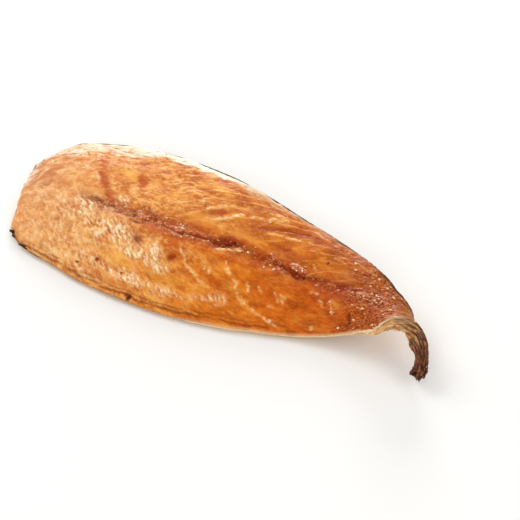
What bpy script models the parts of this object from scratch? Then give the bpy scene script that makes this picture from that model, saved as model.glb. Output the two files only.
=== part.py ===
"""A smoked mackerel fillet lying on its skin, with its dried tail bent down in a hook. Metres, +Z up.

The fillet runs along +X from the head cut to the tail. Its thin belly edge is towards -Y and its
thick back towards +Y. Flesh and skin cling together as one piece, so the fillet is one solid: a loft
of cross sections that are drawn along a straight line and then carried along the bent spine.
"""

import math
from collections import namedtuple

import bmesh
import bpy
from mathutils import Matrix, Vector

MM = 0.001

# Everything from here to the colour is in millimetres or degrees.
# "Along" is the distance from the head cut, measured along the spine: a line on the skin side,
# close under the backbone's groove.

# The cross section at some distances: how far the belly edge and the back edge lie from the spine,
# and how high over it the belly edge, the flesh above it and the back edge are.
Station = namedtuple("Station", "along belly back belly_height middle_height back_height")
STATIONS = (
    Station(0, 23, 36, 1.6, 9.5, 7),
    Station(14, 28, 44, 1.6, 13, 11),
    Station(36, 31.5, 49, 1.6, 16.5, 14.5),
    Station(58, 35.5, 52, 1.6, 17.7, 16),
    Station(82, 37, 53, 1.6, 18, 16),
    Station(106, 36.5, 51.5, 1.6, 17.5, 15.5),
    Station(130, 32.5, 47, 1.6, 16, 14),
    Station(156, 25.6, 40.8, 1.8, 13.5, 11.5),
    Station(181, 18.4, 32.8, 2.2, 10.5, 8),
    Station(201, 13.2, 22.6, 3.5, 8.7, 6.5),
    Station(215, 13.6, 12.6, 4, 7.8, 5),
    Station(226, 7, 7.5, 3.2, 6, 3.2),
    Station(236, 3.6, 3.8, 2.3, 4.5, 2.3),
    Station(249, 4.6, 6, 1.2, 2.4, 1.2),
)
LENGTH = STATIONS[-1].along
FULL_HEIGHT = max(station.middle_height for station in STATIONS)

# Flesh: a groove where the backbone lay, a swelling of the back muscle and rounded edges.
GROOVE_DEPTH = 1.4
GROOVE_WIDTH = 5.0
GROOVE_PLACE = 5.5  # how far behind the spine it runs
BACK_SWELL = 2.2
BELLY_FALL = 1.4  # the power by which the flesh thins towards the belly edge
BELLY_LIP = 1.2
BACK_LIP = 4.0

# Skin: how far in from each edge it comes down to the spine's level, as a share of the half width.
BELLY_TUCK = 0.1
BACK_TUCK = 0.68

# The head cut: slanted back to both sides of its foremost point, worn round in section.
HEAD_SLOPE = 0.31
HEAD_POINT = 24.0
HEAD_POINT_ROUND = 15.0
HEAD_SLANT_LENGTH = 70.0
HEAD_ROUND = 9.0
HEAD_BLUNT = 1.5
HEAD_CORE = 0.35  # height of the cut's middle, as a share of the thickness
BELLY_CORNER = 4.0
BACK_CORNER = 12.0

# The spine's line, as (along, angle): its rise above level, its turn to the back, and the twist of
# the sections round it, which brings the skin side of the hook to the front.
PITCH = (
    *((128, 0), (160, 5), (180, 12), (198, 16), (210, 13)),
    *((219, 5), (227, -12), (235, -27), (243, -31), (249, -28)),
)
TURN = ((206, 0), (217, -15), (227, -33), (235, -51), (243, -80), (249, -92))
TWIST = (
    *((145, 0), (165, 3), (180, 5), (192, 5), (206, -4)),
    *((214, -20), (222, -65), (230, -110), (238, -132), (249, -138)),
)
SPINE_STEP = 0.1

# Rings of the loft.
HEAD_RINGS = (0.0, 0.6, 1.6, 3.0, 5.0, 7.5)
BODY_RING_GAP = 3.8
TAIL_START = 205.0
TAIL_RING_GAP = 2.1
SIDE_POINTS = 27  # points of a ring over the flesh, and as many again under the skin

FLESH_COLOUR = (0.62, 0.22, 0.05, 1.0)
FLESH_ROUGHNESS = 0.35


def through(knots, at):
    """The value at a distance, on a smooth curve through (distance, value) knots, level at its ends."""
    if at <= knots[0][0]:
        return knots[0][1]
    if at >= knots[-1][0]:
        return knots[-1][1]
    i = max(k for k in range(len(knots) - 1) if knots[k][0] <= at)
    slopes = [0.0, 0.0]
    for side, k in enumerate((i, i + 1)):
        if 0 < k < len(knots) - 1:
            (x0, y0), (x1, y1) = knots[k - 1], knots[k + 1]
            slopes[side] = (y1 - y0) / (x1 - x0)
    (x0, y0), (x1, y1) = knots[i], knots[i + 1]
    width = x1 - x0
    t = (at - x0) / width
    start = (1 + 2 * t) * (1 - t) ** 2 * y0 + t * (1 - t) ** 2 * width * slopes[0]
    end = t * t * (3 - 2 * t) * y1 + t * t * (t - 1) * width * slopes[1]
    return start + end


def rounded(distance, radius):
    """Rises from 0 at an edge to 1 a radius away from it, as a quarter circle does."""
    t = min(max(distance / radius, 0.0), 1.0)
    return math.sqrt(1 - (1 - t) ** 2)


def station_at(along):
    """The cross section's sizes at any distance, with the head cut's corners rounded in plan."""
    sizes = [through([(row.along, row[column]) for row in STATIONS], along) for column in range(1, 6)]
    sizes[0] -= BELLY_CORNER * (1 - rounded(along, BELLY_CORNER))
    sizes[1] -= BACK_CORNER * (1 - rounded(along, BACK_CORNER))
    return Station(along, *sizes)


def flesh_height(across, at):
    """Height of the flesh side, at a distance across from the spine."""
    scale = at.middle_height / FULL_HEIGHT
    if across < 0:
        low = at.belly_height
        lip = BELLY_LIP * math.sqrt(scale)
        fall = 1 - (-across / at.belly) ** BELLY_FALL
        height = low + lip + (at.middle_height - low - lip) * fall
        edge = rounded(across + at.belly, 2 * lip)
    else:
        low = at.back_height
        lip = BACK_LIP * scale
        share = across / at.back
        swell = BACK_SWELL * scale * math.sin(math.pi * share)
        height = at.middle_height + (low + lip - at.middle_height) * share**2 + swell
        edge = rounded(at.back - across, 2 * lip)
    from_groove = (across - GROOVE_PLACE * math.sqrt(scale)) / (GROOVE_WIDTH * scale)
    groove = GROOVE_DEPTH * scale * math.exp(-(from_groove**2))
    return low + (height - groove - low) * edge


def skin_height(across, at):
    """Height of the skin side: level under the spine and turned up to both edges."""
    slim = (1 - at.middle_height / FULL_HEIGHT) ** 2
    belly_tuck = at.belly * (BELLY_TUCK + (1 - BELLY_TUCK) * slim)
    back_tuck = at.back * (BACK_TUCK + (1 - BACK_TUCK) * slim)
    from_belly = at.belly_height * (1 - rounded(across + at.belly, belly_tuck))
    from_back = at.back_height * (1 - rounded(at.back - across, back_tuck))
    return max(from_belly, from_back)


def head_slant(along, across):
    """How far the head cut's slant carries a point towards the tail."""
    slant = HEAD_SLOPE * (math.hypot(across - HEAD_POINT, HEAD_POINT_ROUND) - HEAD_POINT_ROUND)
    return slant * max(0.0, 1 - along / HEAD_SLANT_LENGTH) ** 2


def section(along):
    """One ring of points, over the flesh from belly to back and home under the skin."""
    at = station_at(along)
    centre, half = (at.back - at.belly) / 2, (at.back + at.belly) / 2
    blunt = rounded(along + HEAD_BLUNT, HEAD_ROUND)
    ring = []
    for i in range(2 * SIDE_POINTS):
        across = centre - half * math.cos(math.pi * i / SIDE_POINTS)
        flesh, skin = flesh_height(across, at), skin_height(across, at)
        core = skin + HEAD_CORE * (flesh - skin)
        height = flesh if i < SIDE_POINTS else skin
        ring.append(Vector((head_slant(along, across), across, core + (height - core) * blunt)))
    middle = Matrix.Translation((0, 0, at.middle_height / 2))
    twist = middle @ Matrix.Rotation(math.radians(through(TWIST, along)), 4, "X") @ middle.inverted()
    return [twist @ point for point in ring]


def spine_frames():
    """Frames along the bent spine, one each SPINE_STEP, whose axes are along, across and up."""
    frames = []
    place = Vector((0, 0, 0))
    for i in range(round(LENGTH / SPINE_STEP) + 1):
        pitch, turn = (math.radians(through(angles, i * SPINE_STEP)) for angles in (PITCH, TURN))
        heading = Matrix.Rotation(turn, 4, "Z") @ Matrix.Rotation(-pitch, 4, "Y")
        frames.append(Matrix.Translation(place) @ heading)
        place = place + heading.col[0].to_3d() * SPINE_STEP
    return frames


def spread(start, end, gap):
    """Distances from start up to but not including end, as near the gap apart as fits."""
    steps = round((end - start) / gap)
    return [start + (end - start) * i / steps for i in range(steps)]


def fillet_mesh():
    """The loft: a straight tube whose rings are moved to the sections, one after another."""
    body = spread(HEAD_RINGS[-1] + BODY_RING_GAP, TAIL_START, BODY_RING_GAP)
    distances = [*HEAD_RINGS, *body, *spread(TAIL_START, LENGTH, TAIL_RING_GAP), LENGTH]
    points = 2 * SIDE_POINTS
    bm = bmesh.new()
    bmesh.ops.create_cone(bm, cap_ends=True, segments=points, radius1=1, radius2=1, depth=1)
    caps = [face for face in bm.faces if len(face.verts) == points]
    bmesh.ops.triangulate(bm, faces=caps, ngon_method="BEAUTY")
    sides = [edge for edge in bm.edges if edge.verts[0].co.z * edge.verts[1].co.z < 0]
    bmesh.ops.subdivide_edges(bm, edges=sides, cuts=len(distances) - 2, use_grid_fill=True)
    frames = spine_frames()
    rings = [section(along) for along in distances]
    for vert in bm.verts:
        ring = round((vert.co.z + 0.5) * (len(distances) - 1))
        point = round(math.atan2(vert.co.x, vert.co.y) / math.tau * points) % points
        vert.co = frames[round(distances[ring] / SPINE_STEP)] @ rings[ring][point] * MM
    bmesh.ops.recalc_face_normals(bm, faces=bm.faces)
    mesh = bpy.data.meshes.new("fillet")
    bm.to_mesh(mesh)
    bm.free()
    return mesh


def centred(mesh):
    """Moves the mesh so that the origin is at the middle of its box, on the table."""
    spans = [[vert.co[axis] for vert in mesh.vertices] for axis in range(3)]
    low, high = (Vector(pick(span) for span in spans) for pick in (min, max))
    middle = (low + high) / 2
    mesh.transform(Matrix.Translation((-middle.x, -middle.y, -low.z)))


def smoked_flesh():
    material = bpy.data.materials.new("smoked_flesh")
    material.use_nodes = True
    shader = material.node_tree.nodes["Principled BSDF"]
    shader.inputs["Base Color"].default_value = FLESH_COLOUR
    shader.inputs["Roughness"].default_value = FLESH_ROUGHNESS
    return material


def main():
    for obj in list(bpy.data.objects):
        bpy.data.objects.remove(obj)
    collection = bpy.data.collections.new("smoked_fillet")
    bpy.context.scene.collection.children.link(collection)
    mesh = fillet_mesh()
    centred(mesh)
    mesh.materials.append(smoked_flesh())
    mesh.shade_smooth()
    collection.objects.link(bpy.data.objects.new("fillet", mesh))


main()
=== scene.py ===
# Smoked mackerel fillet, flesh side up, on a white table.
import math

import bmesh
import bpy
import numpy as np
from mathutils import Matrix, Vector


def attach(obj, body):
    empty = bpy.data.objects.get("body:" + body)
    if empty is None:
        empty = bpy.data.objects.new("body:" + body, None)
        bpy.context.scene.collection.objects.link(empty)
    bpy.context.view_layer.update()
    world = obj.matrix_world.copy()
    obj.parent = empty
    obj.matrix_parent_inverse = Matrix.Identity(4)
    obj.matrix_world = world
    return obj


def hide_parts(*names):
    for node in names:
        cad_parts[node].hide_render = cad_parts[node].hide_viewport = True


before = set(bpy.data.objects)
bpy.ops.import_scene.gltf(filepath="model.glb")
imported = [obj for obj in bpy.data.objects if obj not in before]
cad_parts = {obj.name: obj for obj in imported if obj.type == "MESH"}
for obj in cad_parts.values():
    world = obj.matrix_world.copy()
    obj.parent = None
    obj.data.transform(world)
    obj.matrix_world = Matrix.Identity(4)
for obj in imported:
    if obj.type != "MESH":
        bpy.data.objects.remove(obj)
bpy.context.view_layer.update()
print("CAD frame loaded")

mm = 0.001


def smooth(low, high, value):  # 0 below low, 1 above high
    t = np.clip((value - low) / (high - low), 0.0, 1.0)
    return t * t * (3 - 2 * t)


def between(value, start, end, soft):  # 1 between start and end, with soft ends
    return smooth(start - soft, start + soft, value) * (1 - smooth(end - soft, end + soft, value))


def hill(value, middle, width):  # 1 at the middle, falling away on both sides
    return np.exp(-(((value - middle) / width) ** 2))


def knotCurve(knots, at):  # smooth curve through (place, value) knots, level at its ends
    places, values = np.array(knots, float).T
    slopes = np.zeros(len(places))
    slopes[1:-1] = (values[2:] - values[:-2]) / (places[2:] - places[:-2])
    i = np.clip(np.searchsorted(places, at, side="right") - 1, 0, len(places) - 2)
    width = places[i + 1] - places[i]
    t = np.clip((at - places[i]) / width, 0.0, 1.0)
    start = (1 + 2 * t) * (1 - t) ** 2 * values[i] + t * (1 - t) ** 2 * width * slopes[i]
    end = t * t * (3 - 2 * t) * values[i + 1] + t * t * (t - 1) * width * slopes[i + 1]
    return start + end


def lattice(x, y, z, seed):  # a steady random number from -1 to 1 for each whole-numbered place
    h = (x * 374761393 + y * 668265263 + z * 1274126177 + seed * 974634777) & 0xFFFFFFFF
    h = ((h ^ (h >> 13)) * 1103515245) & 0xFFFFFFFF
    h = ((h ^ (h >> 15)) * 668265263) & 0xFFFFFFFF
    return ((h ^ (h >> 16)) & 0xFFFFFF) / 0x7FFFFF - 1


def grain(x, y, seed, octaves=1, z=0.0):  # smooth noise from about -1 to 1, one lump for each unit
    x, y, z = np.broadcast_arrays(x, y, z)
    total, size, weight = 0.0, 1.0, 1.0
    for octave in range(octaves):
        places = [p / size for p in (x, y, z)]
        cells = [np.floor(p).astype(np.int64) for p in places]
        near = [(p - cell) for p, cell in zip(places, cells)]
        near = [f * f * f * (f * (f * 6 - 15) + 10) for f in near]
        value = 0.0
        for corner in range(8):
            steps = (corner & 1, corner >> 1 & 1, corner >> 2)
            share = np.prod([f if step else 1 - f for f, step in zip(near, steps)], axis=0)
            value = value + share * lattice(*(cell + step for cell, step in zip(cells, steps)), seed + 31 * octave)
        total = total + value * weight
        size, weight = size / 2, weight / 2
    return total


def turned(x, y, degrees):  # x and y measured along and across a direction
    c, s = math.cos(math.radians(degrees)), math.sin(math.radians(degrees))
    return x * c + y * s, y * c - x * s


def spots(along, across, rows):  # soft ovals: along, across, half length, half width, turn, strength
    total = 0.0
    for s, a, long, wide, turn, strength in rows:
        ds, da = turned(along - s, across - a, turn)
        total = np.maximum(total, strength * np.exp(-(((ds / long) ** 2 + (da / wide) ** 2) ** 1.5)))
    return total


def streaks(along, across, rows):  # soft strokes: start along and across, end along and across, half width, strength
    total = 0.0
    for s, a, endS, endA, wide, strength in rows:
        ds, da = endS - s, endA - a
        t = np.clip(((along - s) * ds + (across - a) * da) / (ds**2 + da**2), 0, 1)
        away = np.hypot(along - s - t * ds, across - a - t * da)
        total = np.maximum(total, strength * np.exp(-((away / (wide * (1 - 0.5 * (2 * t - 1) ** 2))) ** 2.5)))
    return total


# The fillet's form, in millimetres and degrees. Widths, heights and angles are knots at distances
# along the spine from the head cut.
filletForm = {
    "belly": (
        *((0, 23), (14, 28), (36, 31.5), (58, 35.5), (82, 37), (106, 36.5), (130, 32.5)),
        *((156, 25.6), (181, 18.4), (201, 13.2), (215, 13.6), (226, 7), (236, 3.6), (249, 4.6)),
    ),
    "back": (
        *((0, 36), (14, 44), (36, 49), (58, 52), (82, 53), (106, 51.5), (130, 47)),
        *((156, 40.8), (181, 32.8), (201, 22.6), (215, 12.6), (226, 7.5), (236, 3.8), (249, 6)),
    ),
    "bellyHeight": (
        *((0, 1.6), (14, 1.6), (36, 1.6), (58, 1.6), (82, 1.6), (106, 1.6), (130, 1.6)),
        *((156, 1.8), (181, 2.2), (201, 3.5), (215, 4), (226, 3.2), (236, 2.3), (249, 1.2)),
    ),
    "middleHeight": (
        *((0, 9.5), (14, 13), (36, 16.5), (58, 17.7), (82, 18), (106, 17.5), (130, 16)),
        *((156, 13.5), (181, 10.5), (201, 8.7), (215, 7.8), (226, 6), (236, 4.5), (249, 2.4)),
    ),
    "backHeight": (
        *((0, 7), (14, 11), (36, 14.5), (58, 16), (82, 16), (106, 15.5), (130, 14)),
        *((156, 11.5), (181, 8), (201, 6.5), (215, 5), (226, 3.2), (236, 2.3), (249, 1.2)),
    ),
    "pitch": (
        *((128, 0), (160, 5), (180, 12), (198, 16), (210, 13)),
        *((219, 5), (227, -12), (235, -27), (243, -31), (249, -28)),
    ),
    "turn": ((206, 0), (217, -15), (227, -33), (235, -51), (243, -80), (249, -92)),
    "twist": (
        *((145, 0), (165, 3), (180, 5), (192, 5), (206, -4)),
        *((214, -20), (222, -65), (230, -110), (238, -132), (249, -138)),
    ),
    "length": 249.0,
    "fullHeight": 18.0,
    "start": (-118.405, -7.949, 0.0),  # where the spine begins in the shared frame
    "backSwell": 2.2,
    "bellyFall": 1.4,
    "bellyLip": 1.2,
    "backLip": 4.0,
    "bellyTuck": 0.1,
    "backTuck": 0.68,
    "headSlope": 0.31,
    "headPoint": 24.0,
    "headPointRound": 15.0,
    "headSlantLength": 70.0,
    "headRound": 9.0,
    "headBlunt": 1.5,
    "headCore": 0.35,
    "bellyCorner": 4.0,
    "backCorner": 12.0,
}
spineStep = 0.1


def roundedOver(distance, radius):  # a quarter circle from 0 at an edge to 1
    t = np.clip(distance / radius, 0.0, 1.0)
    return np.sqrt(1 - (1 - t) ** 2)


def sizesAt(along):  # belly, back and the three heights at each distance
    form = filletForm
    keys = ("belly", "back", "bellyHeight", "middleHeight", "backHeight")
    belly, back, bellyHeight, middleHeight, backHeight = (knotCurve(form[key], along) for key in keys)
    belly = belly - form["bellyCorner"] * (1 - roundedOver(along, form["bellyCorner"]))
    back = back - form["backCorner"] * (1 - roundedOver(along, form["backCorner"]))
    return belly, back, bellyHeight, middleHeight, backHeight


def fleshHeight(across, sizes):
    form = filletForm
    belly, back, bellyHeight, middleHeight, backHeight = sizes
    scale = middleHeight / form["fullHeight"]
    lip = form["bellyLip"] * np.sqrt(scale)
    fall = 1 - np.clip(-across / belly, 0, None) ** form["bellyFall"]
    bellyTop = bellyHeight + lip + (middleHeight - bellyHeight - lip) * fall
    bellySide = bellyHeight + (bellyTop - bellyHeight) * roundedOver(across + belly, 2 * lip)
    lip = form["backLip"] * scale
    share = across / back
    swell = form["backSwell"] * scale * np.sin(np.pi * np.clip(share, 0, 1))
    backTop = middleHeight + (backHeight + lip - middleHeight) * share**2 + swell
    backSide = backHeight + (backTop - backHeight) * roundedOver(back - across, 2 * lip)
    return np.where(across < 0, bellySide, backSide)


def skinHeight(across, sizes):
    form = filletForm
    belly, back, bellyHeight, middleHeight, backHeight = sizes
    slim = (1 - middleHeight / form["fullHeight"]) ** 2
    bellyTuck = belly * (form["bellyTuck"] + (1 - form["bellyTuck"]) * slim)
    backTuck = back * (form["backTuck"] + (1 - form["backTuck"]) * slim)
    fromBelly = bellyHeight * (1 - roundedOver(across + belly, bellyTuck))
    fromBack = backHeight * (1 - roundedOver(back - across, backTuck))
    return np.maximum(fromBelly, fromBack)


def headSlant(along, across):
    form = filletForm
    sideways = np.hypot(across - form["headPoint"], form["headPointRound"]) - form["headPointRound"]
    return form["headSlope"] * sideways * np.clip(1 - along / form["headSlantLength"], 0, None) ** 2


def blunted(along, height, flesh, skin):  # the head cut, worn round
    form = filletForm
    core = skin + form["headCore"] * (flesh - skin)
    return core + (height - core) * roundedOver(along + form["headBlunt"], form["headRound"])


def spineFrames():  # heading matrices and places, one each step
    form = filletForm
    along = np.arange(round(form["length"] / spineStep) + 1) * spineStep
    pitch = np.radians(knotCurve(form["pitch"], along))
    turn = np.radians(knotCurve(form["turn"], along))
    forward = np.stack([np.cos(turn) * np.cos(pitch), np.sin(turn) * np.cos(pitch), np.sin(pitch)], 1)
    left = np.stack([-np.sin(turn), np.cos(turn), 0 * turn], 1)
    up = np.cross(forward, left)
    places = np.vstack([np.zeros(3), np.cumsum(forward, 0)[:-1] * spineStep])
    return np.stack([forward, left, up], 2), places


spineHeadings, spinePlaces = spineFrames()


def tornBack(along, place):  # the dried tip is torn back unevenly; place runs -1 to 1 across it
    torn = 1.3 + 1.4 * hill(place, 0.2, 0.35) + 1.3 * grain(place * 4, 0, 91, 3)
    return along - smooth(236, 249, along) ** 2 * np.clip(torn, 0, 4)


def onSpine(along, across, height):  # points in the shared frame, in mm
    twist = np.radians(knotCurve(filletForm["twist"], along))
    middle = knotCurve(filletForm["middleHeight"], along) / 2
    y = across * np.cos(twist) - (height - middle) * np.sin(twist)
    z = across * np.sin(twist) + (height - middle) * np.cos(twist) + middle
    x = headSlant(along, across) + np.clip(along, None, 0)
    step = np.rint(np.clip(along, 0, None) / spineStep).astype(int)
    local = np.stack([x, y, z], -1)
    return np.einsum("...ij,...j->...i", spineHeadings[step], local) + spinePlaces[step] + filletForm["start"]


def surfaceNormals(points, closed):  # unit normals of a grid of points
    alongWay = np.gradient(points, axis=0)
    if closed:
        aroundWay = np.roll(points, -1, 1) - np.roll(points, 1, 1)
    else:
        aroundWay = np.gradient(points, axis=1)
    normals = np.cross(alongWay, aroundWay)
    return normals / np.maximum(np.linalg.norm(normals, axis=-1, keepdims=True), 1e-9)


def vertexPlaces(mesh):
    places = np.empty(len(mesh.vertices) * 3)
    mesh.vertices.foreach_get("co", places)
    return places.reshape(-1, 3)


def tubeMesh(name, rings, points):  # a capped tube, with each vertex's ring and point
    bm = bmesh.new()
    bmesh.ops.create_cone(bm, cap_ends=True, segments=points, radius1=1, radius2=1, depth=1)
    ends = [face for face in bm.faces if len(face.verts) == points]
    bmesh.ops.triangulate(bm, faces=ends, ngon_method="BEAUTY")
    lengthwise = [edge for edge in bm.edges if edge.verts[0].co.z * edge.verts[1].co.z < 0]
    bmesh.ops.subdivide_edges(bm, edges=lengthwise, cuts=rings - 2, use_grid_fill=True)
    mesh = bpy.data.meshes.new(name)
    bm.to_mesh(mesh)
    bm.free()
    x, y, z = vertexPlaces(mesh).T
    ring = np.rint((z + 0.5) * (rings - 1)).astype(int)
    point = np.rint(np.arctan2(x, y) / math.tau * points).astype(int) % points
    return mesh, ring, point


def sheetMesh(name, rings, points):  # an open sheet, with each vertex's ring and point
    bm = bmesh.new()
    bmesh.ops.create_grid(bm, x_segments=rings - 1, y_segments=points - 1, size=1)
    mesh = bpy.data.meshes.new(name)
    bm.to_mesh(mesh)
    bm.free()
    x, y, z = vertexPlaces(mesh).T
    ring = np.rint((x + 1) / 2 * (rings - 1)).astype(int)
    point = np.rint((y + 1) / 2 * (points - 1)).astype(int)
    return mesh, ring, point


def moveVertices(mesh, places):  # places in mm
    mesh.vertices.foreach_set("co", (places * mm).astype(np.float32).ravel())
    mesh.update()


def paint(mesh, name, values):  # a number on each vertex, for the material to read
    layer = mesh.attributes.new(name, "FLOAT", "POINT")
    layer.data.foreach_set("value", np.asarray(values, np.float32).ravel())


def showPiece(mesh, material, name):
    piece = bpy.data.objects.new(name, mesh)
    bpy.context.scene.collection.objects.link(piece)
    mesh.materials.append(material)
    mesh.shade_smooth()
    return piece


def outwards(mesh):
    bm = bmesh.new()
    bm.from_mesh(mesh)
    bmesh.ops.recalc_face_normals(bm, faces=bm.faces)
    bm.to_mesh(mesh)
    bm.free()


class Link:  # wraps a socket, so that sums on it add nodes
    def __init__(self, tree, socket):
        self.tree = tree
        self.socket = socket

    def maths(self, operation, *values, clamp=False):
        return addNode(self.tree, "ShaderNodeMath", {"operation": operation, "use_clamp": clamp}, dict(enumerate(values)))

    def __add__(self, other):
        return self.maths("ADD", self, other)

    def __radd__(self, other):
        return self.maths("ADD", other, self)

    def __sub__(self, other):
        return self.maths("SUBTRACT", self, other)

    def __rsub__(self, other):
        return self.maths("SUBTRACT", other, self)

    def __mul__(self, other):
        return self.maths("MULTIPLY", self, other)

    def __rmul__(self, other):
        return self.maths("MULTIPLY", other, self)

    def __truediv__(self, other):
        return self.maths("DIVIDE", self, other)

    def __abs__(self):
        return self.maths("ABSOLUTE", self)

    def kept(self):  # held between 0 and 1
        return self.maths("ADD", self, 0.0, clamp=True)

    def ramp(self, low, high):  # 0 at low, 1 at high, smoothly; low may be above high
        ends = {"From Min": min(low, high), "From Max": max(low, high), "To Min": float(low > high), "To Max": float(low < high)}
        return addNode(self.tree, "ShaderNodeMapRange", {"interpolation_type": "SMOOTHSTEP"}, {"Value": self, **ends})


def addNode(tree, kind, settings, sockets, output=0):  # settings first, then the sockets' values or links
    node = tree.nodes.new(kind)
    for key, value in settings.items():
        if key == "stops":
            setStops(node.color_ramp, value)
        else:
            setattr(node, key, value)
    for key, value in sockets.items():
        plug(tree, node.inputs[key], value)
    return Link(tree, node.outputs[output])


def setStops(ramp, stops):  # (place, colour) pairs
    while len(ramp.elements) < len(stops):
        ramp.elements.new(1.0)
    for element, (place, colour) in zip(ramp.elements, stops):
        element.position = place
        element.color = colour


def plug(tree, socket, value):
    if isinstance(value, Link):
        tree.links.new(value.socket, socket)
    else:
        socket.default_value = value


class Finish:  # one material and its nodes
    def __init__(self, name):
        self.material = bpy.data.materials.new(name)
        self.material.use_nodes = True
        self.tree = self.material.node_tree
        self.shader = self.tree.nodes["Principled BSDF"]

    def node(self, kind, settings, sockets, output=0):
        return addNode(self.tree, kind, settings, sockets, output)

    def read(self, name):  # a number painted on the vertices
        return self.node("ShaderNodeAttribute", {"attribute_name": name}, {}, "Fac")

    def lumps(self, x, y, detail=2.0, rough=0.5):  # noise with one lump for each unit of x and y
        where = self.node("ShaderNodeCombineXYZ", {}, {"X": x, "Y": y})
        return self.node("ShaderNodeTexNoise", {}, {"Vector": where, "Scale": 1.0, "Detail": detail, "Roughness": rough})

    def mix(self, share, first, second):
        return self.node("ShaderNodeMix", {"data_type": "RGBA"}, {0: share, 6: first, 7: second}, 2)

    def tones(self, place, stops):  # colours that change over a length
        return self.node("ShaderNodeValToRGB", {"stops": stops}, {"Fac": place})

    def bump(self, height, distance):  # distance in mm
        return self.node("ShaderNodeBump", {}, {"Height": height, "Distance": distance * mm})

    def set(self, **sockets):
        for key, value in sockets.items():
            plug(self.tree, self.shader.inputs[key.replace("_", " ")], value)


def tint(red, green, blue):  # screen colour, 0 to 255, as the shader wants it
    linear = [((c / 255 + 0.055) / 1.055) ** 2.4 if c > 10 else c / 255 / 12.92 for c in (red, green, blue)]
    return (*linear, 1.0)


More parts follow.
